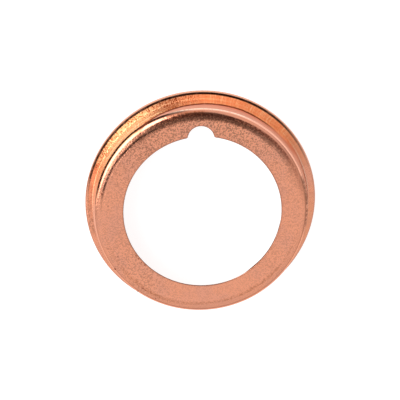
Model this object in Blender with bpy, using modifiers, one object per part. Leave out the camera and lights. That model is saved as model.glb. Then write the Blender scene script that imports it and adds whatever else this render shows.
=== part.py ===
# Copper crush washer for a drain plug.
#
# One thin copper sheet is drawn to a shallow cup, its middle is pierced for the plug's thread, and
# its edge is folded back under itself. The section is one bent strip: a flat annular face with a
# slightly crowned outer part, a rounded shoulder, an upright wall, a short flange, the rolled rim,
# and a back ring that runs inwards under the cup. A half-round notch is pierced at the bore's edge.
#
# The washer lies on its back ring. +Z runs along the bore from the back ring to the face, the
# origin is the middle of the back face, and the notch points to -Y.

import math

import bmesh
import bpy
from mathutils import Matrix, Vector

# Driving dimensions, in metres and radians
SHEET_THICKNESS = 0.00026
BORE_RADIUS = 0.00615
FACE_WIDTH = 0.00225
FLANGE_WIDTH = 0.00062
WASHER_HEIGHT = 0.0029
SHOULDER_RADIUS = 0.00043
FOOT_RADIUS = 0.00014
FOLD_OPENING = 0.00005
BACK_RING_WIDTH = 0.00162
CROWN_WIDTH = 0.00074
CROWN_BEND_RADIUS = 0.0021
CROWN_ANGLE = math.radians(15)
NOTCH_RADIUS = 0.00103
NOTCH_CENTRE_DEPTH = 0.00017
NOTCH_CORNER_RADIUS = 0.00018

# How finely the round shapes are cut into facets
TURN_STEPS = 96
CROWN_STEPS = 3
SHOULDER_STEPS = 6
FOOT_STEPS = 4
FOLD_STEPS = 4
NOTCH_ARCH_STEPS = 14
NOTCH_CORNER_STEPS = 4
CLEAR_OF_WALL = 0.0005

# Sizes that follow from the driving ones
WALL_RADIUS = BORE_RADIUS + FACE_WIDTH
RIM_RADIUS = WALL_RADIUS + FLANGE_WIDTH
HALF_SHEET = SHEET_THICKNESS / 2
FACE_HEIGHT = WASHER_HEIGHT - HALF_SHEET
FOLD_BEND_RADIUS = (SHEET_THICKNESS + FOLD_OPENING) / 2
NOTCH_CENTRE_RADIUS = BORE_RADIUS - NOTCH_CENTRE_DEPTH

COPPER = (0.79, 0.42, 0.28)


def clear_scene():
    for item in list(bpy.data.objects):
        bpy.data.objects.remove(item, do_unlink=True)


def new_collection(name):
    collection = bpy.data.collections.new(name)
    bpy.context.scene.collection.children.link(collection)
    return collection


def bend(before, corner, after, radius, steps):
    """Points along the arc that rounds a corner between two straight runs of a strip."""
    towards_before = (before - corner).normalized()
    towards_after = (after - corner).normalized()
    half_angle = towards_before.angle(towards_after) / 2
    reach = radius / math.tan(half_angle)
    start = corner + towards_before * reach
    end = corner + towards_after * reach
    middle = (towards_before + towards_after).normalized()
    centre = corner + middle * (radius / math.sin(half_angle))
    first = start - centre
    turn = first.angle_signed(end - centre)
    points = []
    for step in range(steps + 1):
        points.append(centre + Matrix.Rotation(-turn * step / steps, 2) @ first)
    return points


def sheet_midline():
    """The middle of the sheet in section, as radius and height, from the bore's edge to the ring's."""
    wall = WALL_RADIUS - HALF_SHEET
    rim = RIM_RADIUS - HALF_SHEET
    flange = SHEET_THICKNESS + FOLD_OPENING + HALF_SHEET
    crown = WALL_RADIUS - CROWN_WIDTH
    crown_drop = (wall - crown) * math.tan(CROWN_ANGLE)
    corners = [
        (Vector((BORE_RADIUS, FACE_HEIGHT)), 0, 0),
        (Vector((crown, FACE_HEIGHT)), CROWN_BEND_RADIUS, CROWN_STEPS),
        (Vector((wall, FACE_HEIGHT - crown_drop)), SHOULDER_RADIUS - HALF_SHEET, SHOULDER_STEPS),
        (Vector((wall, flange)), FOOT_RADIUS + HALF_SHEET, FOOT_STEPS),
        (Vector((rim, flange)), FOLD_BEND_RADIUS, FOLD_STEPS),
        (Vector((rim, HALF_SHEET)), FOLD_BEND_RADIUS, FOLD_STEPS),
        (Vector((RIM_RADIUS - BACK_RING_WIDTH, HALF_SHEET)), 0, 0),
    ]
    points = [corners[0][0]]
    for index in range(1, len(corners) - 1):
        corner, radius, steps = corners[index]
        points += bend(corners[index - 1][0], corner, corners[index + 1][0], radius, steps)
    points.append(corners[-1][0])
    return points


def turned_sheet(name, collection):
    """The folded sheet: its midline as a profile, turned about Z and given its thickness."""
    profile = bmesh.new()
    vertices = [profile.verts.new((point.x, 0, point.y)) for point in sheet_midline()]
    for start, end in zip(vertices, vertices[1:]):
        profile.edges.new((start, end))
    bmesh.ops.remove_doubles(profile, verts=profile.verts, dist=SHEET_THICKNESS / 100)
    mesh = bpy.data.meshes.new(name)
    profile.to_mesh(mesh)
    profile.free()
    washer = bpy.data.objects.new(name, mesh)
    collection.objects.link(washer)

    turn = washer.modifiers.new("turn", "SCREW")
    turn.axis = "Z"
    turn.angle = math.tau
    turn.steps = TURN_STEPS
    turn.render_steps = TURN_STEPS
    turn.use_merge_vertices = True
    turn.merge_threshold = 0.00001
    turn.use_smooth_shade = True

    thickness = washer.modifiers.new("sheet thickness", "SOLIDIFY")
    thickness.thickness = SHEET_THICKNESS
    thickness.offset = 0
    thickness.use_even_offset = True
    return washer


def notch_outline():
    """The notch seen along +Z: a half-round arch whose mouth is eased into the bore by two arcs."""
    arch_centre = Vector((0, -NOTCH_CENTRE_RADIUS))
    corner_from_bore = BORE_RADIUS + NOTCH_CORNER_RADIUS
    corner_from_arch = NOTCH_RADIUS + NOTCH_CORNER_RADIUS
    # Each easing arc is tangent to the bore and to the arch, which places its centre
    along = (
        NOTCH_CENTRE_RADIUS**2 + corner_from_bore**2 - corner_from_arch**2
    ) / (2 * NOTCH_CENTRE_RADIUS)
    aside = math.sqrt(corner_from_bore**2 - along**2)
    corner_centre = Vector((aside, -along))

    to_arch = arch_centre - corner_centre
    to_bore = -corner_centre
    corner_start = math.atan2(to_bore.y, to_bore.x)
    corner_sweep = math.remainder(math.atan2(to_arch.y, to_arch.x) - corner_start, math.tau)
    arch_start = math.atan2(-to_arch.y, -to_arch.x)
    arch_sweep = -math.pi - 2 * arch_start

    half = []
    for step in range(NOTCH_CORNER_STEPS):
        angle = corner_start + corner_sweep * step / NOTCH_CORNER_STEPS
        half.append(corner_centre + NOTCH_CORNER_RADIUS * Vector((math.cos(angle), math.sin(angle))))
    arch = []
    for step in range(NOTCH_ARCH_STEPS + 1):
        angle = arch_start + arch_sweep * step / NOTCH_ARCH_STEPS
        arch.append(arch_centre + NOTCH_RADIUS * Vector((math.cos(angle), math.sin(angle))))
    other_half = [Vector((-point.x, point.y)) for point in reversed(half)]
    inside_the_bore = half[0].y + CLEAR_OF_WALL
    mouth = [Vector((-half[0].x, inside_the_bore)), Vector((half[0].x, inside_the_bore))]
    return half + arch + other_half + mouth


def notch_punch(collection):
    """The punch that pierces the notch, through the face's sheet only."""
    top = WASHER_HEIGHT + CLEAR_OF_WALL
    bottom = WASHER_HEIGHT - SHEET_THICKNESS - CLEAR_OF_WALL
    shape = bmesh.new()
    vertices = [shape.verts.new((point.x, point.y, bottom)) for point in notch_outline()]
    floor = shape.faces.new(vertices)
    raised = bmesh.ops.extrude_face_region(shape, geom=[floor])
    lifted = [item for item in raised["geom"] if isinstance(item, bmesh.types.BMVert)]
    bmesh.ops.translate(shape, verts=lifted, vec=(0, 0, top - bottom))
    bmesh.ops.recalc_face_normals(shape, faces=shape.faces)
    mesh = bpy.data.meshes.new("notch_punch")
    shape.to_mesh(mesh)
    shape.free()
    punch = bpy.data.objects.new("notch_punch", mesh)
    punch.hide_render = True
    punch.display_type = "WIRE"
    collection.objects.link(punch)
    return punch


def pierce(washer, punch):
    cut = washer.modifiers.new("notch", "BOOLEAN")
    cut.operation = "DIFFERENCE"
    cut.solver = "EXACT"
    cut.object = punch


def copper_material():
    material = bpy.data.materials.new("annealed copper")
    material.use_nodes = True
    shader = material.node_tree.nodes["Principled BSDF"]
    shader.inputs["Base Color"].default_value = (*COPPER, 1)
    shader.inputs["Metallic"].default_value = 1
    shader.inputs["Roughness"].default_value = 0.32
    return material


def main():
    clear_scene()
    parts = new_collection("copper_crush_washer")
    cutters = new_collection("cutters")
    washer = turned_sheet("crush_washer", parts)
    pierce(washer, notch_punch(cutters))
    shading = washer.modifiers.new("crisp cut edges", "WEIGHTED_NORMAL")
    shading.weight = 100
    washer.data.materials.append(copper_material())


main()
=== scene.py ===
import math

import bpy
from mathutils import Matrix, Vector, noise


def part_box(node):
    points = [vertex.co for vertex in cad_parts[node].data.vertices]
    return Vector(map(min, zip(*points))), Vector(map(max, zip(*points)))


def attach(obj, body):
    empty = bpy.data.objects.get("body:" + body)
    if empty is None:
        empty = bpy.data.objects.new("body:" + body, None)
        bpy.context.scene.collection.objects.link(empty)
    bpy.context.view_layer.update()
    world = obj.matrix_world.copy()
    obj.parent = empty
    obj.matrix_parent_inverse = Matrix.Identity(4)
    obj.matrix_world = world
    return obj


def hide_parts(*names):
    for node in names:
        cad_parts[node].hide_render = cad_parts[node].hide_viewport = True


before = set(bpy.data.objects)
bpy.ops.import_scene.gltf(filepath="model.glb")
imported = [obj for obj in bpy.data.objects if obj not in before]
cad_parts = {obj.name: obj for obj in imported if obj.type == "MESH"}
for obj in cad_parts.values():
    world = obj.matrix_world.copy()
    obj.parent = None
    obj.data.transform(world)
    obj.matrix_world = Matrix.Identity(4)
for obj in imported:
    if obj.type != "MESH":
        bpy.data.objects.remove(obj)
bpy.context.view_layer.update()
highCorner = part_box("crush_washer")[1]
mm = 0.001
print("frame loaded:", ", ".join(sorted(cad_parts)))


# The folded sheet. Its rim and height come from the frame.
sheet = {
    "thickness": 0.26 * mm,
    "boreRadius": 6.15 * mm,
    "wallRadius": 8.40 * mm,
    "rimRadius": highCorner.x,
    "height": highCorner.z,
    "ringInside": 7.40 * mm,
    "foldOpening": 0.05 * mm,
    "crownRadius": 7.66 * mm,  # where the flat face turns down
    "crownSlope": math.radians(15),
    "crownBend": 2.1 * mm,
    "shoulderBend": 0.30 * mm,
    "footBend": 0.27 * mm,
    "rimFold": 0.285 * mm,
    "rimSquare": 0.50,  # how far the pressed fold is squared up
    "rimFlatSteps": 8,
    "draft": math.radians(1),  # the wall leans in towards the face
    "draftStart": 0.6 * mm,
    "draftBlend": 0.2 * mm,
    "pressedEdge": 0.035 * mm,
    "punchTaper": 0.085 * mm,  # the punched bore widens towards the back of the sheet
    "straightCut": 0.09 * mm,  # and less so on one side
    "cupShift": Vector((0.118, 0.033)) * mm,  # the cup was drawn a little off the bore's centre
    "rimShift": Vector((0.050, -0.002)) * mm,
    "rimOval": 0.047 * mm,  # the rim is this much out of round
    "ovalTurn": math.radians(48),
    "columns": 420,
}

# Half-round notch in the bore, on the -Y side
notch = {
    "radius": 1.03 * mm,
    "centre": 5.98 * mm,
    "mouthBend": 0.18 * mm,
    "zone": math.radians(22),  # half of the stretch whose columns follow the outline
    "columns": 110,
    "edgeBand": 0.06 * mm,
    "blendWidth": 1.15 * mm,
}


# Points and left-hand normals along a bent strip.
# Each corner is a point, its bend radius, the steps of its bend and the steps of the run after it.
def roundedPath(corners):
    path = []
    cursor = Vector(corners[0][0])
    for index, (place, radius, bendSteps, runSteps) in enumerate(corners[:-1]):
        corner = Vector(place)
        after = (Vector(corners[index + 1][0]) - corner).normalized()
        if index:
            before = (Vector(corners[index - 1][0]) - corner).normalized()
            halfAngle = before.angle(after) / 2
            centre = corner + (before + after).normalized() * (radius / math.sin(halfAngle))
            first = corner + before * (radius / math.tan(halfAngle)) - centre
            last = corner + after * (radius / math.tan(halfAngle)) - centre
            turn = -first.angle_signed(last)
            side = 1 if turn < 0 else -1
            for step in range(bendSteps + 1):
                spoke = Matrix.Rotation(turn * step / bendSteps, 2) @ first
                path.append((centre + spoke, spoke.normalized() * side))
            cursor = centre + last
        normal = Vector((-after.y, after.x))
        nextPlace = Vector(corners[index + 1][0])
        nextRadius = corners[index + 1][1]
        reach = 0
        isLast = index + 2 == len(corners)
        if not isLast:
            further = (Vector(corners[index + 2][0]) - nextPlace).normalized()
            reach = nextRadius / math.tan((-after).angle(further) / 2)
        runEnd = nextPlace - after * reach
        # points close to both bends keep the run flat
        guard = min(0.2, 0.012 * mm / (runEnd - cursor).length)
        shares = [guard, *(step / runSteps for step in range(1, runSteps)), 1 - guard]
        if not index:
            shares.insert(0, 0)
        if isLast:
            shares.append(1)
        for share in shares:
            path.append((cursor.lerp(runEnd, share), normal))
    return path


# Middle of the sheet in section, from the bore's edge to the ring's edge.
# fine is 1 for the seen side, and less for the hidden one.
def stripPath(fine):
    half = sheet["thickness"] / 2
    top = sheet["height"] - half
    wall = sheet["wallRadius"] - half
    rim = sheet["rimRadius"] - half
    flange = sheet["thickness"] + sheet["foldOpening"] + half
    fold = (sheet["thickness"] + sheet["foldOpening"]) / 2
    drop = (wall - sheet["crownRadius"]) * math.tan(sheet["crownSlope"])

    def steps(count):
        return max(2, round(count * fine))

    return roundedPath([
        ((sheet["boreRadius"] + sheet["pressedEdge"], top), 0, 0, steps(14)),
        ((sheet["crownRadius"], top), sheet["crownBend"], steps(9), steps(3)),
        ((wall, top - drop), sheet["shoulderBend"], steps(15), steps(24)),
        ((wall, flange), sheet["footBend"], steps(9), steps(3)),
        ((rim, flange), fold, steps(11), steps(2)),
        ((rim, half), fold, steps(9), steps(3)),
        ((sheet["ringInside"] + sheet["pressedEdge"], half), 0, 0, 0),
    ])


def sectionOutline():  # closed outline of the folded sheet
    half = sheet["thickness"] / 2
    edge = sheet["pressedEdge"]
    outline = []

    def addSpot(place, normal, onFace, hidden, cut):
        across = 0
        if outline:
            across = outline[-1]["across"] + (place - outline[-1]["place"]).length
        outline.append({
            "place": place,
            "radius": place.x,
            "height": place.y,
            "normal": normal,
            "slope": math.degrees(math.acos(max(-1, min(1, normal.y)))),
            "across": across,
            "onFace": onFace,
            "hidden": hidden,
            "cut": cut,
        })

    def roundEdge(radius, height, start, end, onFace, hidden):
        for step in range(4):
            angle = start + (end - start) * step / 3
            aim = Vector((math.cos(angle), math.sin(angle)))
            punched = onFace and aim.x < -0.6  # faces the middle of the bore
            addSpot(Vector((radius, height)) + aim * edge, aim, onFace, hidden, punched)

    def side(path, sign):
        for spot, normal in path:
            place = spot + normal * half * sign
            rimStart = sheet["rimRadius"] - sheet["rimFold"]
            if place.x > rimStart - 0.0001 * mm:  # a hair less, so that the first point counts
                place.x = sheet["rimRadius"] - (sheet["rimRadius"] - place.x) * sheet["rimSquare"]
                last = outline[-1]["place"]
                # points on the flat that squaring up the fold has opened
                if sign > 0 and place.x - last.x > 0.1 * mm:
                    for step in range(1, sheet["rimFlatSteps"]):
                        share = step / sheet["rimFlatSteps"]
                        addSpot(last.lerp(place, share), normal, False, False, False)
            if place.x > sheet["crownRadius"]:
                start = sheet["draftStart"]
                drafted = band(place.y, start + 0.1 * mm, sheet["height"], sheet["draftBlend"])
                place.x -= drafted * (place.y - start) * math.tan(sheet["draft"])
            addSpot(place, normal * sign, spot.y > sheet["height"] - 3 * half, sign < 0, False)

    boreEdge = sheet["boreRadius"] + edge
    underEdge = boreEdge + sheet["punchTaper"]
    ringEdge = sheet["ringInside"] + edge
    top = sheet["height"]
    bottom = sheet["height"] - sheet["thickness"]
    roundEdge(boreEdge, top - edge, math.pi, math.pi / 2, True, False)
    side(stripPath(1)[1:], 1)
    roundEdge(ringEdge, edge, -math.pi / 2, -math.pi, False, True)
    roundEdge(ringEdge, sheet["thickness"] - edge, math.pi, math.pi / 2, False, True)
    side([step for step in reversed(stripPath(0.25)) if step[0].x > underEdge], -1)
    roundEdge(underEdge, bottom + edge, -math.pi / 2, -math.pi + 0.3, True, True)
    return outline


# Plan points of the bore's edge with the notch, each with the normal into the copper and the
# angle that its column has further out. Worked out along +X, and turned to -Y at the end.
def boreColumns():
    bore = sheet["boreRadius"]
    centre = notch["centre"]
    bend = notch["mouthBend"]
    arch = Vector((centre, 0))
    boreToBend = bore + bend
    archToBend = notch["radius"] + bend
    along = (centre ** 2 + boreToBend ** 2 - archToBend ** 2) / (2 * centre)
    aside = math.sqrt(boreToBend ** 2 - along ** 2)
    corner = Vector((along, aside))
    mouthAngle = math.atan2(aside, along)
    toArch = arch - corner
    bendStart = math.atan2(-corner.y, -corner.x)
    bendTurn = math.remainder(math.atan2(toArch.y, toArch.x) - bendStart, math.tau)
    archStart = math.atan2(-toArch.y, -toArch.x)

    # upper half of the outline, from the top of the arch to the edge of the zone
    runs = [
        ("arch", notch["radius"] * archStart),
        ("bend", bend * abs(bendTurn)),
        ("bore", bore * (notch["zone"] - mouthAngle)),
    ]
    total = sum(length for _, length in runs)
    half = []
    count = notch["columns"] // 2
    for step in range(count + 1):
        left = total * step / count
        for name, length in runs:
            if left <= length or name == "bore":
                break
            left -= length
        if name == "arch":
            angle = left / notch["radius"]
            aim = Vector((math.cos(angle), math.sin(angle)))
            spot = arch + aim * notch["radius"]
        elif name == "bend":
            angle = bendStart + bendTurn - math.copysign(left / bend, bendTurn)
            aim = -Vector((math.cos(angle), math.sin(angle)))
            spot = corner - aim * bend
        else:
            angle = mouthAngle + left / bore
            aim = Vector((math.cos(angle), math.sin(angle)))
            spot = aim * bore
        half.append((spot, aim, notch["zone"] * step / count))
    columns = []
    for spot, aim, angle in reversed(half[1:]):
        columns.append((Vector((spot.x, -spot.y)), Vector((aim.x, -aim.y)), -angle))
    columns += half
    rest = sheet["columns"]
    for step in range(1, rest):
        angle = notch["zone"] + (math.tau - 2 * notch["zone"]) * step / rest
        aim = Vector((math.cos(angle), math.sin(angle)))
        columns.append((aim * bore, aim, angle))
    turn = Matrix.Rotation(-math.pi / 2, 2)
    return [(turn @ spot, turn @ aim, angle - math.pi / 2) for spot, aim, angle in columns]


def planPlace(column, reach):  # where a column stands, by the distance outwards from the bore's edge
    spot, aim, angle = column
    if reach <= notch["edgeBand"]:
        return spot + aim * reach
    if reach >= notch["blendWidth"]:
        return Vector((math.cos(angle), math.sin(angle))) * (sheet["boreRadius"] + reach)
    share = (reach - notch["edgeBand"]) / (notch["blendWidth"] - notch["edgeBand"])
    outer = Vector((math.cos(angle), math.sin(angle))) * (sheet["boreRadius"] + notch["blendWidth"])
    return (spot + aim * notch["edgeBand"]).lerp(outer, share)


def ramp(value, start, end):  # 0 before start, 1 after end, soft between
    share = min(1, max(0, (value - start) / (end - start)))
    return share * share * (3 - 2 * share)


def band(value, start, end, soft):  # 1 between start and end
    return ramp(value, start - soft, start) * (1 - ramp(value, end, end + soft))


# Roughness of each zone of the pressed sheet
finish = {
    "face": 0.22,
    "crown": 0.18,
    "shoulder": 0.12,
    "wall": 0.45,
    "matte": 0.68,
    "rim": 0.28,
    "inside": 0.30,
}

# Marks on the sheet, by azimuth in degrees anticlockwise from +X, with the notch at -90
marks = {
    "cupAbove": 1.5 * mm,  # face, crown and shoulder lie above this height
    "flangeBelow": 0.65 * mm,  # flange and rim lie below this height
    "foldReach": 0.16 * mm,  # width of the rim that the fold rounds
    # matte band: height of its top in mm, how matte it is, and how grainy, with the grain raised as painted
    # sheen where the softbox's light falls and at the foot
    "matteTop": [
        (-180, 0.75), (-166, 0.60), (-152, 0.80), (-139, 1.20), (-126, 1.32), (-114, 1.22), (-94, 1.42),
        (-82, 1.66), (-68, 2.07), (-64, 2.30), (-54, 2.75), (-10, 2.75), (20, 2.2), (90, 1.4), (180, 0.75),
    ],
    "matteEdge": 0.10 * mm,
    "matteShare": [
        (-180, 0.15), (-170, 0), (-160, 0.2), (-150, 0.5), (-138, 1), (-24, 1), (-10, 0.4), (4, 0.05),
        (25, 0), (60, 0.4), (120, 0.4), (180, 0.15),
    ],
    "grainsAndSheen": [
        (-180, 0.05), (-140, 0.08), (-85, 0.08), (-79, 0.4), (-70, 0.75), (-60, 1), (-40, 0.95),
        (-28, 0.65), (-18, 0.15), (10, 0.05), (180, 0.05),
    ],
    # how deep the stain beside the notch is
    "stain": [
        (-94, 0), (-86, 0.35), (-80.5, 0.5), (-78.5, 1), (-72, 1), (-64, 0.5), (-58, 0.1), (-36, 0.1),
        (-28, 0.3), (-20, 0.6), (-8, 0.6), (2, 0),
    ],
    # painted dark reflection: dark line on the shoulder: the slope at which it runs, half its width in
    # slope, and its share
    "shoulderLine": [(-80, 62), (-66, 67), (-51, 70), (-37, 56), (-24, 48), (-7, 37), (5, 30), (20, 60)],
    "shoulderLineHalf": 16.5,
    "shoulderLineShare": [(-87, 0), (-80, 0.7), (-70, 1), (-16, 1), (-6, 0.5), (2, 0.12), (20, 0)],
    # painted dark reflection: dark line where crown and shoulder meet: its share, and the slope at which it
    # ends
    "crownEdge": [
        (-180, 0), (-168, 0.25), (-158, 0.4), (-144, 0.7), (-124, 0.8), (-80, 0.75), (-68, 0.55), (-60, 0),
    ],
    "crownEdgeSlope": [(-170, 20), (-138, 22), (-121, 20.5), (-100, 18.5), (-60, 17.5)],
    # painted dark reflection: dark line on the crown, on one side of the notch: the slope at which it runs,
    # and its share
    "crownLine": [(-62, 9.6), (-51, 10.9), (-37, 12.2), (-24, 13.5), (-8, 13.4)],
    "crownLineShare": [(-72, 0), (-57, 0.95), (-48, 1), (-16, 0.95), (-8, 0.3), (0, 0)],
    # share of dark specks on the crown, on the face and down one side: a painted dark reflection that
    # deepens the crown's dark band
    "crownReflectionSpecks": [(-164, 0), (-150, 0.05), (-144, 0.1), (-132, 0.25), (-122, 0.48), (-68, 0.5), (-56, 0)],
    "faceMottle": [
        (-180, 0.2), (-150, 0.35), (-125, 0.75), (-50, 0.75), (-25, 0.4), (0, 0.18), (30, 0.4), (50, 0.5),
        (75, 0.15), (110, 0.12), (140, 0.3), (180, 0.2),
    ],
    "sideMottle": 0.6,
    # painted light: the foot of the wall made paler, and a painted pale reflection line high on it, with
    # its height in mm
    "paleFootLight": [(-180, 0.5), (-174, 1), (-158, 1), (-147, 0), (155, 0), (180, 0.5)],
    "paleReflectionLine": [(-72, 1.60), (-64, 1.64), (-51, 1.80), (-37, 1.98), (-26, 2.08)],
    # painted shade: dark line along the flange: how far inside the rim, half its width, and its share
    "rimLine": 0.118 * mm,
    "rimLineHalf": 0.072 * mm,
    "rimLineShare": [(-166, 0), (-150, 0.5), (-135, 0.9), (-118, 1), (-16, 1), (-6, 0.2), (2, 0)],
    # ring of tarnish and painted shade where the flat face turns down: its radius in mm, and its share
    "ring": [
        (-180, 7.6), (20, 7.73), (50, 7.73), (64, 7.80), (80, 7.70), (96, 7.62), (123, 7.58), (149, 7.64),
        (180, 7.6),
    ],
    "ringShare": [
        (-180, 0.1), (-10, 0.1), (15, 0.25), (31, 0.5), (46, 0.85), (62, 1), (72, 0.65), (96, 0.65),
        (115, 0.85), (132, 0.9), (142, 0.5), (156, 0.4), (172, 0.15), (180, 0.1),
    ],
}

# Stretches of azimuth that marks fill: from, to and the width of the soft ends
stretches = {
    "scuff": (-84, -73, 5),
    "sideMottle": (-6, 12, 8),
    "sideShadeRight": (-180, -166, 8),
    "sideShadeLeft": (172, 180, 10),
    "shoulderShade": (-90, -76, 7),
    "paleReflectionLine": (-67, -35, 7),
    "paintedGlint": (-112, -84, 12),
    "matteLine": (-124, -64, 16),
    "farSideShade": (25, 175, 20),
    "wornRim": (-158, -22, 12),
}

# Slopes of the section that they fill, in degrees, with the face at 0 and the wall at 90
slopes = {
    "scuff": (16, 50, 6),
    "crownReflectionSpecks": (3.5, 14.7, 3),
    "sideShade": (48, 74, 20),
    "shoulderShade": (19, 42, 9),
    "paintedGlint": (69, 75, 4),
    "farSideShade": (66, 84, 6),
}


def byAzimuth(table, azimuth):  # value of a table of (azimuth, value) between its entries
    for (before, low), (after, high) in zip(table, table[1:]):
        if before <= azimuth <= after:
            return low + (high - low) * (azimuth - before) / (after - before)
    return table[0][1] if azimuth < table[0][0] else table[-1][1]


def stretch(name, azimuth):  # 1 where the mark is, 0 elsewhere
    return band(azimuth, *stretches[name])


def tilt(name, spot):  # 1 where the sheet has the mark's slope, 0 elsewhere
    return band(spot["slope"], *slopes[name])


def onCup(spot):  # on the seen side of the face, the crown or the shoulder
    return not spot["hidden"] and spot["height"] >= marks["cupAbove"]


def onFlange(spot):  # 1 up to the rim's fold, 0 on the fold
    fold = sheet["rimRadius"] - marks["foldReach"]
    return 1 - ramp(spot["radius"], fold - 0.02 * mm, fold + 0.02 * mm)


def matte(spot, azimuth):
    if spot["hidden"]:
        return 0
    top = byAzimuth(marks["matteTop"], azimuth) * mm
    wall = 1 - ramp(spot["height"], top - marks["matteEdge"], top)
    return wall * onFlange(spot) * byAzimuth(marks["matteShare"], azimuth)


def roughness(spot, azimuth):
    if spot["hidden"]:
        return finish["inside"]
    rough = finish["face"]
    if spot["height"] > marks["flangeBelow"]:
        # each zone takes over between two slopes
        for zone, start, end in (("crown", 2, 8), ("shoulder", 15, 30), ("wall", 72, 88)):
            rough += (finish[zone] - rough) * ramp(spot["slope"], start, end)
    else:
        rough += (finish["rim"] - rough) * (1 - onFlange(spot))
    return rough + (finish["matte"] - rough) * matte(spot, azimuth)


def grainDepth(spot, azimuth):  # how deep the grain of the sheet is
    if spot["hidden"]:
        return 0.5
    depth = 1
    for value, start, end in ((1.2, 2, 7), (0.5, 18, 30), (0.35, 60, 85)):
        depth += (value - depth) * ramp(spot["slope"], start, end)
    scuffed = stretch("scuff", azimuth) * tilt("scuff", spot)
    return depth + 0.8 * scuffed


def mottle(spot, azimuth):  # share of dark specks, on the face and down one side
    if spot["hidden"]:
        return 0
    face = byAzimuth(marks["faceMottle"], azimuth) * (1 - ramp(spot["slope"], 15, 25))
    upper = ramp(spot["height"], 1.5 * mm, 2.2 * mm)
    side = marks["sideMottle"] * stretch("sideMottle", azimuth) * (1 - upper)
    return side + (face - side) * upper


# painted dark reflection: dark specks that deepen the crown's dark band
def crownReflectionSpecks(spot, azimuth):
    if not onCup(spot):
        return 0
    return byAzimuth(marks["crownReflectionSpecks"], azimuth) * tilt("crownReflectionSpecks", spot)


# share of grain, raised as painted sheen where the softbox's light falls and at the foot of the wall
def grainsAndSheen(spot, azimuth):
    return byAzimuth(marks["grainsAndSheen"], azimuth) * (1.6 - 1.1 * ramp(spot["height"], 0.6 * mm, 1.6 * mm))


# painted dark reflection: dark line on the shoulder
def shoulderLine(spot, azimuth):
    if not onCup(spot):
        return 0
    off = abs(spot["slope"] - byAzimuth(marks["shoulderLine"], azimuth)) / marks["shoulderLineHalf"]
    return (1 - ramp(off, 0.6, 1.3)) * byAzimuth(marks["shoulderLineShare"], azimuth)


# painted dark reflection: dark line where the crown meets the shoulder
def crownEdge(spot, azimuth):  # dark line where the crown meets the shoulder
    if not onCup(spot):
        return 0
    edge = byAzimuth(marks["crownEdgeSlope"], azimuth)
    line = ramp(spot["slope"], 10, 14.6) * (1 - ramp(spot["slope"], edge, edge + 6))
    return line * byAzimuth(marks["crownEdge"], azimuth)


# painted dark reflection: dark line on the crown
def crownLine(spot, azimuth):
    if not onCup(spot):
        return 0
    middle = byAzimuth(marks["crownLine"], azimuth)
    line = band(spot["slope"], middle - 1.7, middle + 0.9, 0.9)
    return line * byAzimuth(marks["crownLineShare"], azimuth)


def sideShade(spot, azimuth):  # painted shade: dark patch on the shoulder's side, standing in for a dark reflection
    if not onCup(spot):
        return 0
    around = max(stretch("sideShadeRight", azimuth), stretch("sideShadeLeft", azimuth))
    return 0.7 * around * ramp(spot["height"], 2.2 * mm, 2.4 * mm) * tilt("sideShade", spot)


def shoulderShade(spot, azimuth):  # painted shade: darker stretch of the shoulder above the notch
    if not onCup(spot):
        return 0
    return 0.75 * stretch("shoulderShade", azimuth) * tilt("shoulderShade", spot)


# painted reflection: pale line high on the wall
def paleReflectionLine(spot, azimuth):
    if spot["hidden"] or spot["slope"] < 60:
        return 0
    line = byAzimuth(marks["paleReflectionLine"], azimuth) * mm
    across = band(spot["height"], line - 0.07 * mm, line + 0.07 * mm, 0.06 * mm)
    return across * stretch("paleReflectionLine", azimuth)


def paintedGlint(spot, azimuth):  # painted highlight: thin bright line low on the shoulder
    if not onCup(spot):
        return 0
    return stretch("paintedGlint", azimuth) * tilt("paintedGlint", spot)


def matteLine(spot, azimuth):  # painted dark reflection: thin dark line at the top of the matte band
    if spot["hidden"]:
        return 0
    top = byAzimuth(marks["matteTop"], azimuth) * mm
    across = band(spot["height"], top - 0.12 * mm, top + 0.12 * mm, 0.06 * mm)
    return across * stretch("matteLine", azimuth)


# painted shade: dark line along the flange
def rimLine(spot, azimuth):
    if spot["hidden"] or spot["height"] > marks["flangeBelow"]:
        return 0
    off = abs(sheet["rimRadius"] - spot["radius"] - marks["rimLine"])
    half = marks["rimLineHalf"]
    return (1 - ramp(off, half, half + 0.02 * mm)) * byAzimuth(marks["rimLineShare"], azimuth)


# tarnish, and painted shade where a dent in the face would reflect dark
def tarnishAndShadeRing(spot, azimuth):
    if not onCup(spot):
        return 0
    off = abs(spot["radius"] - byAzimuth(marks["ring"], azimuth) * mm)
    return (1 - ramp(off, 0.05 * mm, 0.19 * mm)) * byAzimuth(marks["ringShare"], azimuth)


def flangeStain(spot, azimuth):  # darker stretch of the matte band
    return matte(spot, azimuth) * byAzimuth(marks["stain"], azimuth)


def darkCut(spot, azimuth):
    return 1 if spot["cut"] else 0


def rimEdge(spot):  # 1 on the outermost part of the rim
    if spot["height"] > marks["flangeBelow"]:
        return 0
    return ramp(spot["radius"], sheet["rimRadius"] - 0.10 * mm, sheet["rimRadius"] - 0.05 * mm)


def edgeTarnishAndShade(spot, azimuth):  # tarnish along the bore's edge, and painted shade low on the shoulder and on the rim's edge away from the camera
    if spot["hidden"]:
        return 0
    if not onCup(spot):
        return 0.7 * rimEdge(spot) * (1 - stretch("wornRim", azimuth))
    reach = spot["radius"] - sheet["boreRadius"]
    bore = 1 - ramp(reach, 0.03 * mm, 0.10 * mm)
    low = tilt("farSideShade", spot) * ramp(spot["height"], 2.3 * mm, 2.4 * mm)
    return max(bore, low * stretch("farSideShade", azimuth))


def wornRim(spot, azimuth):
    return rimEdge(spot) * stretch("wornRim", azimuth)


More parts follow.
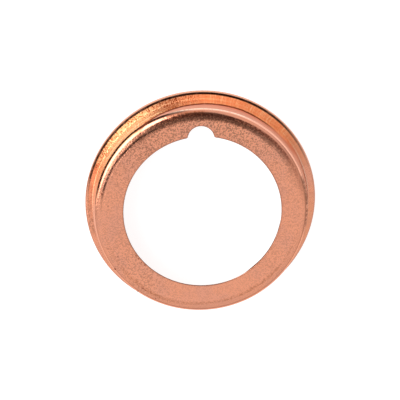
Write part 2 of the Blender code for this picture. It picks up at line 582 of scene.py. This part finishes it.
def paleFootLight(spot, azimuth):  # painted light: foot of the wall made paler on one side
    if spot["hidden"]:
        return 0
    low = 1 - ramp(spot["height"], 1.3 * mm, 2.0 * mm)
    side = low * ramp(spot["slope"], 12, 40) * (1 - rimEdge(spot))
    return byAzimuth(marks["paleFootLight"], azimuth) * side


def paleWallReflection(spot, azimuth):  # painted reflection: top of the wall made paler, as the floor's reflection
    if spot["hidden"]:
        return 0
    high = ramp(spot["height"], 1.1 * mm, 1.9 * mm)
    return high * ramp(spot["slope"], 42, 66) * (1 - matte(spot, azimuth))


layerMakers = (
    roughness, matte, grainsAndSheen, grainDepth, mottle, crownReflectionSpecks, shoulderLine, crownEdge, crownLine,
    matteLine, rimLine, sideShade, paintedGlint, shoulderShade, paleReflectionLine, tarnishAndShadeRing, flangeStain, darkCut,
    edgeTarnishAndShade, wornRim, paleWallReflection, paleFootLight,
)

# Unevenness that the press leaves: how closely it repeats, and its height off the true form
relief = {
    "wave": (420, 0.0035 * mm),
    "dapple": (2400, 0.0009 * mm),
}


def pressedRelief(place):
    height = 0
    for shift, (pitch, size) in enumerate(relief.values()):  # shifted, so that the two don't line up
        height += noise.noise(place * pitch + Vector((7, 3, 5)) * shift) * size
    return height


def offCentre(radius, height, angle):  # how far a place on the section stands off its true circle
    cup = ramp(radius, sheet["boreRadius"] + notch["blendWidth"], sheet["wallRadius"] - 0.2 * mm)
    low = 1 - ramp(height, 0.5 * mm, 1.4 * mm)
    oval = sheet["rimOval"] * math.cos(2 * (angle - sheet["ovalTurn"]))
    rim = sheet["rimShift"] + Vector((math.cos(angle), math.sin(angle))) * oval
    return sheet["cupShift"] * cup * (1 - low) + rim * low


def makeWasher():
    outline = sectionOutline()
    columns = boreColumns()
    print("washer section:", len(outline), "points,", len(columns), "columns")
    vertices = []
    layers = {maker.__name__: [] for maker in layerMakers}
    layers["across"] = []
    for spot in outline:
        radius = spot["radius"]
        height = spot["height"]
        normal = spot["normal"]
        reach = radius - sheet["boreRadius"]
        for edgePlace, edgeAim, angle in columns:
            outward = Vector((math.cos(angle), math.sin(angle)))
            plan = outward * radius
            if spot["onFace"] and reach < notch["blendWidth"]:
                plan = planPlace((edgePlace, edgeAim, angle), reach)
                if reach < notch["edgeBand"]:
                    outward = edgeAim
            azimuth = math.remainder(math.degrees(angle), 360)
            if spot["cut"] and height < sheet["height"] - sheet["thickness"] / 2:
                plan = plan - outward * sheet["straightCut"] * band(azimuth, 130, 166, 14)
            plan = plan + offCentre(radius, height, angle)
            place = Vector((plan.x, plan.y, height))
            if height > 0.02 * mm:  # what rests on the floor stays flat
                offSheet = Vector((outward.x * normal.x, outward.y * normal.x, normal.y))
                place += offSheet * pressedRelief(place)
            vertices.append(place)
            layers["across"].append(spot["across"] / mm)
            for maker in layerMakers:
                layers[maker.__name__].append(maker(spot, azimuth))
    faces = []
    around = len(columns)
    for ring in range(len(outline)):
        following = (ring + 1) % len(outline)
        for column in range(around):
            beside = (column + 1) % around
            faces.append((
                ring * around + column,
                following * around + column,
                following * around + beside,
                ring * around + beside,
            ))
    body = bpy.data.meshes.new("foldedSheet")
    body.from_pydata(vertices, [], faces)
    body.shade_smooth()
    for name, values in layers.items():
        layer = body.attributes.new(name, "FLOAT", "POINT")
        layer.data.foreach_set("value", values)
    washer = bpy.data.objects.new("folded_sheet", body)
    bpy.context.scene.collection.objects.link(washer)
    print("washer mesh:", len(vertices), "vertices,", 2 * len(faces), "triangles")
    return washer


def addNode(tree, kind, label=None, **settings):
    node = tree.nodes.new(kind)
    if label:
        node.label = label
    for name, value in settings.items():
        setattr(node, name, value)
    return node


def addMath(tree, operation, first, second):
    node = addNode(tree, "ShaderNodeMath", operation=operation)
    for slot, value in enumerate((first, second)):
        if isinstance(value, (int, float)):
            node.inputs[slot].default_value = value
        else:
            tree.links.new(value, node.inputs[slot])
    return node.outputs["Value"]


def addLayer(tree, name):  # a value painted on the mesh
    return addNode(tree, "ShaderNodeAttribute", name, attribute_name=name).outputs["Fac"]


def addNoise(tree, vector, label, scale, detail=2, roughness=0.5):
    node = addNode(tree, "ShaderNodeTexNoise", label)
    node.inputs["Scale"].default_value = scale
    node.inputs["Detail"].default_value = detail
    node.inputs["Roughness"].default_value = roughness
    tree.links.new(vector, node.inputs["Vector"])
    return node.outputs["Fac"]


def addStep(tree, value, start, end, low=0, high=1):  # soft step from low to high
    node = addNode(tree, "ShaderNodeMapRange", interpolation_type="SMOOTHSTEP")
    node.inputs["From Min"].default_value = start
    node.inputs["From Max"].default_value = end
    node.inputs["To Min"].default_value = low
    node.inputs["To Max"].default_value = high
    tree.links.new(value, node.inputs["Value"])
    return node.outputs["Result"]


def addTint(tree, share, under, over, label):  # lays one colour over another
    node = addNode(tree, "ShaderNodeMix", label, data_type="RGBA")
    colours = [socket for socket in node.inputs if socket.type == "RGBA"]
    tree.links.new(share, node.inputs["Factor"])
    for socket, colour in zip(colours, (under, over)):
        if isinstance(colour, tuple):
            socket.default_value = (*colour, 1)
        else:
            tree.links.new(colour, socket)
    return [socket for socket in node.outputs if socket.type == "RGBA"][0]


# Colours, and the texture scales per metre with their heights in mm
copper = {
    "bright": (0.84, 0.345, 0.21),
    "rosy": (0.78, 0.335, 0.22),
    "matte": (0.90, 0.36, 0.155),
    # also the painted sheen of the pale grains and the painted pale reflection line
    "mattePale": (1.0, 0.76, 0.45),
    "matteDark": (0.42, 0.12, 0.045),
    # also the colour of the painted shade on the shoulder
    "stain": (0.46, 0.115, 0.04),
    # also the colour of the painted shade in the ring
    "tarnish": (0.50, 0.19, 0.10),
    "speck": (0.34, 0.16, 0.10),
    "edge": (0.42, 0.17, 0.10),
    # painted dark, for the painted shade and dark reflection lines
    "paintedDark": (0.022, 0.007, 0.004),
    # red oxide for the pits and the stain's spots, and the painted dark reflection line on the wall
    "redOxideAndShade": (0.20, 0.04, 0.018),
    # painted dark reflection, for the crown's specks and the line where crown and shoulder meet
    "crownDarkReflection": (0.17, 0.03, 0.012),
    "cut": (0.09, 0.025, 0.012),
    "wornRim": (0.80, 0.41, 0.28),
    # painted highlight
    "paintedGlint": (1.0, 0.80, 0.62),
    # painted pale reflection of the floor on the wall
    "paleWallReflection": (0.80, 0.41, 0.30),
    # painted light on the foot of the wall
    "paleFootLight": (0.93, 0.55, 0.40),
    "grazing": (0.70, 0.52, 0.44),
    "speckle": 9500,
    "flecks": 7400,
    "patches": 500,
    "grain": (5200, 0.011),
    "hammer": (1500, 0.010),
    "streak": (26, 9, 0.004),  # around per radius, across per mm, height
    "ticks": (150, 0.5, 0.003),
    "dust": (105, 6.5),
}

# Pits in the face: azimuth, radius and half width in mm
pits = [
    (62.0, 8.10, 0.05), (51.6, 8.36, 0.06), (54.7, 7.90, 0.05), (33.6, 8.31, 0.08), (21.0, 7.96, 0.05),
    (-12.4, 7.98, 0.07), (-5.6, 7.36, 0.045), (27.6, 7.55, 0.045), (33.5, 6.31, 0.05), (36.5, 6.29, 0.06),
    (40.0, 6.33, 0.05), (43.0, 6.28, 0.06), (52.5, 7.86, 0.07), (57.5, 7.80, 0.05),
]


def times(tree, first, second):
    return addMath(tree, "MULTIPLY", first, second)


def plus(tree, first, second):
    return addMath(tree, "ADD", first, second)


def copperNoises(tree, place, flat):
    # direction around the washer, for marks that run with the rim or across it
    around = addNode(tree, "ShaderNodeVectorMath", operation="NORMALIZE")
    tree.links.new(flat, around.inputs[0])
    lift = addNode(tree, "ShaderNodeCombineXYZ")
    tree.links.new(addLayer(tree, "across"), lift.inputs["Z"])

    def alongRim(aroundScale, acrossScale):
        scaled = []
        for direction, scale in ((around, aroundScale), (lift, acrossScale)):
            drawn = addNode(tree, "ShaderNodeVectorMath", operation="SCALE")
            drawn.inputs["Scale"].default_value = scale
            tree.links.new(direction.outputs["Vector"], drawn.inputs[0])
            scaled.append(drawn.outputs["Vector"])
        both = addNode(tree, "ShaderNodeVectorMath", operation="ADD")
        tree.links.new(scaled[0], both.inputs[0])
        tree.links.new(scaled[1], both.inputs[1])
        return both.outputs["Vector"]

    return {
        "grain": addNoise(tree, place, "grain", copper["grain"][0], 2, 0.6),
        "hammer": addNoise(tree, place, "hammering", copper["hammer"][0], 2, 0.5),
        "streak": addNoise(tree, alongRim(*copper["streak"][:2]), "streaks", 1, 3, 0.6),
        "ticks": addNoise(tree, alongRim(*copper["ticks"][:2]), "ticks", 1, 1, 0.5),
        "speckle": addNoise(tree, place, "speckle", copper["speckle"], 1, 0.6),
        "flecks": addNoise(tree, place, "flecks", copper["flecks"], 1, 0.6),
        "dust": addNoise(tree, alongRim(*copper["dust"]), "dust", 1, 1, 0.6),
        "patches": addNoise(tree, place, "tarnish patches", copper["patches"], 3, 0.6),
    }


def copperBump(tree, noises):
    depth = times(tree, addLayer(tree, "grainDepth"), copper["grain"][1])
    height = times(tree, plus(tree, noises["grain"], -0.5), depth)
    height = plus(tree, height, times(tree, noises["hammer"], copper["hammer"][1]))
    streaks = times(tree, noises["streak"], copper["streak"][2])
    ticks = times(tree, noises["ticks"], copper["ticks"][2])
    onBand = times(tree, plus(tree, streaks, ticks), addLayer(tree, "matte"))
    bump = addNode(tree, "ShaderNodeBump")
    bump.inputs["Distance"].default_value = mm
    tree.links.new(plus(tree, height, onBand), bump.inputs["Height"])
    return bump.outputs["Normal"]


def cleanColour(tree, noises):  # face, crown and the top of the wall, with the wall's painted pale reflection
    rosy = addStep(tree, noises["patches"], 0.38, 0.66)
    colour = addTint(tree, rosy, copper["bright"], copper["rosy"], "rosy patches")
    colour = addTint(tree, addLayer(tree, "paleWallReflection"), colour, copper["paleWallReflection"], "painted reflection on the wall")
    specks = times(tree, addLayer(tree, "mottle"), addStep(tree, noises["speckle"], 0.48, 0.58))
    colour = addTint(tree, specks, colour, copper["speck"], "dark specks")
    # painted dark reflection on the crown, broken into specks
    specks = times(tree, addLayer(tree, "crownReflectionSpecks"), addStep(tree, noises["flecks"], 0.46, 0.54))
    return addTint(tree, specks, colour, copper["crownDarkReflection"], "painted dark reflection on the crown")


def matteColour(tree, noises):  # matte band, with its grains and painted sheen, scored ticks and stain
    dust = noises["dust"]
    grainAndSheen = addLayer(tree, "grainsAndSheen")
    pale = times(tree, grainAndSheen, addStep(tree, dust, 0.42, 0.58))
    colour = addTint(tree, pale, copper["matte"], copper["mattePale"], "pale grains and painted sheen")
    dark = times(tree, grainAndSheen, addStep(tree, dust, 0.43, 0.34, 0, 0.85))
    colour = addTint(tree, dark, colour, copper["matteDark"], "dark grains")
    scored = times(tree, addStep(tree, noises["ticks"], 0.58, 0.63), 0.5)
    colour = addTint(tree, scored, colour, copper["mattePale"], "scored ticks")
    stained = times(tree, addLayer(tree, "flangeStain"), addStep(tree, dust, 0.36, 0.62, 1, 0.5))
    colour = addTint(tree, stained, colour, copper["stain"], "stain")
    spots = times(tree, addLayer(tree, "flangeStain"), addStep(tree, dust, 0.46, 0.36))
    return addTint(tree, spots, colour, copper["redOxideAndShade"], "spots in the stain")


def drawnLines(tree, noises, colour):  # each line has a painted layer, a colour and a broken edge
    for name, over, noise, edge in (
        # painted shade on the shoulder, in the stain colour
        ("shoulderShade", "stain", "flecks", (0.35, 0.55, 1, 0.5)),
        ("paleReflectionLine", "mattePale", "dust", (0.40, 0.55, 0.35, 0.9)),
        ("shoulderLine", "paintedDark", "speckle", (0.30, 0.45, 0.7, 1)),
        ("crownEdge", "crownDarkReflection", "flecks", (0.36, 0.50, 0.5, 1)),
        ("crownLine", "paintedDark", "flecks", (0.36, 0.50, 0.4, 0.95)),
        ("matteLine", "redOxideAndShade", "grain", (0.36, 0.52, 0.75, 1)),
        ("rimLine", "paintedDark", "streak", (0.30, 0.50, 0.85, 1)),
        ("sideShade", "paintedDark", "grain", (0.36, 0.52, 0.25, 1)),
        ("paintedGlint", "paintedGlint", "grain", (0.36, 0.52, 0.25, 1)),
    ):
        share = times(tree, addLayer(tree, name), addStep(tree, noises[noise], *edge))
        colour = addTint(tree, share, colour, copper[over], name)
    return colour


def pitted(tree, flat, colour):
    for azimuth, radius, size in pits:
        away = addNode(tree, "ShaderNodeVectorMath", "pit", operation="DISTANCE")
        angle = math.radians(azimuth)
        away.inputs[1].default_value = (radius * mm * math.cos(angle), radius * mm * math.sin(angle), 0)
        tree.links.new(flat, away.inputs[0])
        share = addStep(tree, away.outputs["Value"], size * 1.2 * mm, size * 0.7 * mm, 0, 0.85)
        colour = addTint(tree, share, colour, copper["redOxideAndShade"], "pit")
    return colour


def copperMaterial():
    material = bpy.data.materials.new("stampedCopper")
    material.use_nodes = True
    tree = material.node_tree
    shader = tree.nodes["Principled BSDF"]
    place = addNode(tree, "ShaderNodeTexCoord").outputs["Object"]
    flatten = addNode(tree, "ShaderNodeVectorMath", operation="MULTIPLY")
    flatten.inputs[1].default_value = (1, 1, 0)
    tree.links.new(place, flatten.inputs[0])
    flat = flatten.outputs["Vector"]
    noises = copperNoises(tree, place, flat)

    colour = cleanColour(tree, noises)
    colour = addTint(tree, addLayer(tree, "matte"), colour, matteColour(tree, noises), "matte band")
    # painted light on the foot of the wall
    colour = addTint(tree, addLayer(tree, "paleFootLight"), colour, copper["paleFootLight"], "painted light on the foot")
    ring = times(tree, addLayer(tree, "tarnishAndShadeRing"), addStep(tree, noises["speckle"], 0.42, 0.58, 0.25, 1))
    colour = addTint(tree, ring, colour, copper["tarnish"], "tarnish ring and painted shade")
    colour = addTint(tree, addLayer(tree, "wornRim"), colour, copper["wornRim"], "worn rim")
    colour = drawnLines(tree, noises, colour)
    # tarnish at the bore's edge, painted shade on the far shoulder and on the rim's edge
    tarnished = times(tree, addLayer(tree, "edgeTarnishAndShade"), 0.8)
    colour = addTint(tree, tarnished, colour, copper["edge"], "edge tarnish and painted shade")
    colour = addTint(tree, addLayer(tree, "darkCut"), colour, copper["cut"], "punched edge")
    tree.links.new(pitted(tree, flat, colour), shader.inputs["Base Color"])

    uneven = addStep(tree, noises["speckle"], 0.35, 0.65, -0.03, 0.05)
    tree.links.new(plus(tree, addLayer(tree, "roughness"), uneven), shader.inputs["Roughness"])
    tree.links.new(copperBump(tree, noises), shader.inputs["Normal"])
    shader.inputs["Metallic"].default_value = 1
    shader.inputs["Specular Tint"].default_value = (*copper["grazing"], 1)
    print("copper material:", len(tree.nodes), "nodes")
    return material


floor = {
    "size": 0.9,
    "colour": (0.30, 0.30, 0.30),
    "glow": 0.86,
}


def makeFloor():
    half = floor["size"] / 2
    ground = bpy.data.meshes.new("floor")
    corners = [(-half, -half, 0), (half, -half, 0), (half, half, 0), (-half, half, 0)]
    ground.from_pydata(corners, [], [(0, 1, 2, 3)])
    plane = bpy.data.objects.new("floor", ground)
    bpy.context.scene.collection.objects.link(plane)
    material = bpy.data.materials.new("paleFloor")
    material.use_nodes = True
    shader = material.node_tree.nodes["Principled BSDF"]
    shader.inputs["Base Color"].default_value = (*floor["colour"], 1)
    shader.inputs["Roughness"].default_value = 0.9
    shader.inputs["Specular IOR Level"].default_value = 0
    shader.inputs["Emission Color"].default_value = (1, 1, 1, 1)
    shader.inputs["Emission Strength"].default_value = floor["glow"]
    ground.materials.append(material)


def lookingTo(azimuth, elevation):  # direction from the washer, in degrees
    turn = math.radians(azimuth)
    rise = math.radians(elevation)
    return Vector((math.cos(turn) * math.cos(rise), math.sin(turn) * math.cos(rise), math.sin(rise)))


camera = {
    "azimuth": -83.8,
    "elevation": 69.8,
    "roll": math.radians(172.25),
    "distance": 261.8 * mm,
    "lens": 300,
    "shiftRight": -0.062 * mm,
    "shiftUp": -0.083 * mm,
}


def makeCamera():
    back = lookingTo(camera["azimuth"], camera["elevation"])
    level = Vector((0, 0, 1)).cross(back).normalized()
    upright = back.cross(level)
    right = level * math.cos(camera["roll"]) + upright * math.sin(camera["roll"])
    up = back.cross(right)
    place = back * camera["distance"] + right * camera["shiftRight"] + up * camera["shiftUp"]
    lens = bpy.data.cameras.new("camera")
    lens.lens = camera["lens"]
    lens.sensor_width = 36
    lens.clip_start = 0.01
    lens.clip_end = 5
    eye = bpy.data.objects.new("camera", lens)
    turned = Matrix((right, up, back)).transposed().to_4x4()
    eye.matrix_world = Matrix.Translation(place) @ turned
    bpy.context.scene.collection.objects.link(eye)
    bpy.context.scene.camera = eye


# Room around the washer. Azimuth in degrees anticlockwise from +X, elevation above the floor.
studio = {
    "room": 0.88,
    # name, azimuth, elevation, half width, half height, soft edge as a share, level
    "patches": [
        ("bright ceiling behind", 96.2, 62, 34, 14, 0.7, 1.0),
        ("right wall", 172, 5, 34, 34, 0.6, 0.55),
        ("far wall", 96.2, 0, 60, 24, 0.6, 0.50),
    ],
    # azimuth from and to, elevation from and to, width of the soft edge, level
    "softbox": (-62, 14, 20, 78, 6, 4.5),
    # as the patches, and in front of the softbox
    "inFront": [
        ("camera and its stand", -95, 72, 15.8, 28, 0.2, 0.22),
        ("arm over the washer", -100, 88, 28, 13, 0.6, 0.22),
        ("softbox beyond the arm", -24.4, 57.8, 12.5, 12.5, 0.25, 4.5),
    ],
}


def roomBlend(tree, name, share, level, strength):
    blend = addNode(tree, "ShaderNodeMix", name)
    tree.links.new(share, blend.inputs["Factor"])
    if isinstance(level, float):  # the plain room, under the first patch
        blend.inputs["A"].default_value = level
    else:
        tree.links.new(level, blend.inputs["A"])
    blend.inputs["B"].default_value = strength
    return blend.outputs["Result"]


def roomPatch(tree, where, level, patch):  # an oval patch, brighter or darker than the rest
    name, azimuth, elevation, halfWidth, halfHeight, edge, strength = patch
    link = tree.links.new
    middle = lookingTo(azimuth, elevation)
    sideways = Vector((0, 0, 1)).cross(middle).normalized()
    axes = (
        sideways / math.sin(math.radians(halfWidth)),
        middle.cross(sideways) / math.sin(math.radians(halfHeight)),
    )
    join = addNode(tree, "ShaderNodeCombineXYZ", name)
    for index, axis in enumerate(axes):
        along = addNode(tree, "ShaderNodeVectorMath", name, operation="DOT_PRODUCT")
        along.inputs[1].default_value = axis
        link(where.outputs["Generated"], along.inputs[0])
        link(along.outputs["Value"], join.inputs[index])
    # what lies on the other side of the room counts as far off
    behind = addNode(tree, "ShaderNodeVectorMath", name, operation="DOT_PRODUCT")
    behind.inputs[1].default_value = middle
    link(where.outputs["Generated"], behind.inputs[0])
    far = addNode(tree, "ShaderNodeMath", name, operation="LESS_THAN")
    far.inputs[1].default_value = 0
    link(behind.outputs["Value"], far.inputs[0])
    push = addNode(tree, "ShaderNodeMath", name, operation="MULTIPLY")
    push.inputs[1].default_value = 9
    link(far.outputs["Value"], push.inputs[0])
    link(push.outputs["Value"], join.inputs["Z"])
    distance = addNode(tree, "ShaderNodeVectorMath", name, operation="LENGTH")
    link(join.outputs["Vector"], distance.inputs[0])
    fade = addNode(tree, "ShaderNodeMapRange", name, interpolation_type="SMOOTHSTEP")
    fade.inputs["From Min"].default_value = 1 + edge / 2
    fade.inputs["From Max"].default_value = 1 - edge / 2
    link(distance.outputs["Value"], fade.inputs["Value"])
    return roomBlend(tree, name, fade.outputs["Result"], level, strength)


def roomWindow(tree, where, level):  # a softbox that fills a window of azimuth and elevation
    azimuthFrom, azimuthTo, elevationFrom, elevationTo, edge, strength = studio["softbox"]
    link = tree.links.new
    middle = (azimuthFrom + azimuthTo) / 2
    turn = addNode(tree, "ShaderNodeVectorRotate", rotation_type="Z_AXIS")
    turn.inputs["Angle"].default_value = -math.radians(middle)
    link(where.outputs["Generated"], turn.inputs["Vector"])
    split = addNode(tree, "ShaderNodeSeparateXYZ")
    link(turn.outputs["Vector"], split.inputs["Vector"])
    azimuth = addNode(tree, "ShaderNodeMath", "azimuth", operation="ARCTAN2")
    link(split.outputs["Y"], azimuth.inputs[0])
    link(split.outputs["X"], azimuth.inputs[1])
    offset = addNode(tree, "ShaderNodeMath", "off the middle", operation="ABSOLUTE")
    link(azimuth.outputs["Value"], offset.inputs[0])
    elevation = addNode(tree, "ShaderNodeMath", "elevation", operation="ARCSINE")
    link(split.outputs["Z"], elevation.inputs[0])
    halfWidth = (azimuthTo - azimuthFrom) / 2
    shares = []
    for value, inside, outside in (
        (offset, halfWidth, halfWidth + edge),
        (elevation, elevationTo, elevationTo + edge),
        (elevation, elevationFrom, elevationFrom - edge),
    ):
        fade = addNode(tree, "ShaderNodeMapRange", interpolation_type="SMOOTHSTEP")
        fade.inputs["From Min"].default_value = math.radians(outside)
        fade.inputs["From Max"].default_value = math.radians(inside)
        link(value.outputs["Value"], fade.inputs["Value"])
        shares.append(fade.outputs["Result"])
    both = addNode(tree, "ShaderNodeMath", operation="MULTIPLY")
    link(shares[0], both.inputs[0])
    link(shares[1], both.inputs[1])
    every = addNode(tree, "ShaderNodeMath", operation="MULTIPLY")
    link(both.outputs["Value"], every.inputs[0])
    link(shares[2], every.inputs[1])
    return roomBlend(tree, "softbox", every.outputs["Value"], level, strength)


def makeRoom():
    world = bpy.data.worlds.new("studio")
    bpy.context.scene.world = world
    world.use_nodes = True
    tree = world.node_tree
    background = tree.nodes["Background"]
    where = addNode(tree, "ShaderNodeTexCoord")
    level = studio["room"]
    for patch in studio["patches"]:
        level = roomPatch(tree, where, level, patch)
    level = roomWindow(tree, where, level)
    for patch in studio["inFront"]:
        level = roomPatch(tree, where, level, patch)
    background.inputs["Color"].default_value = (1, 1, 1, 1)
    tree.links.new(level, background.inputs["Strength"])


washer = makeWasher()
washer.data.materials.append(copperMaterial())
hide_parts("crush_washer")
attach(washer, "root")
makeFloor()
makeCamera()
makeRoom()
print("studio ready")

bpy.context.scene.view_settings.view_transform = "Standard"
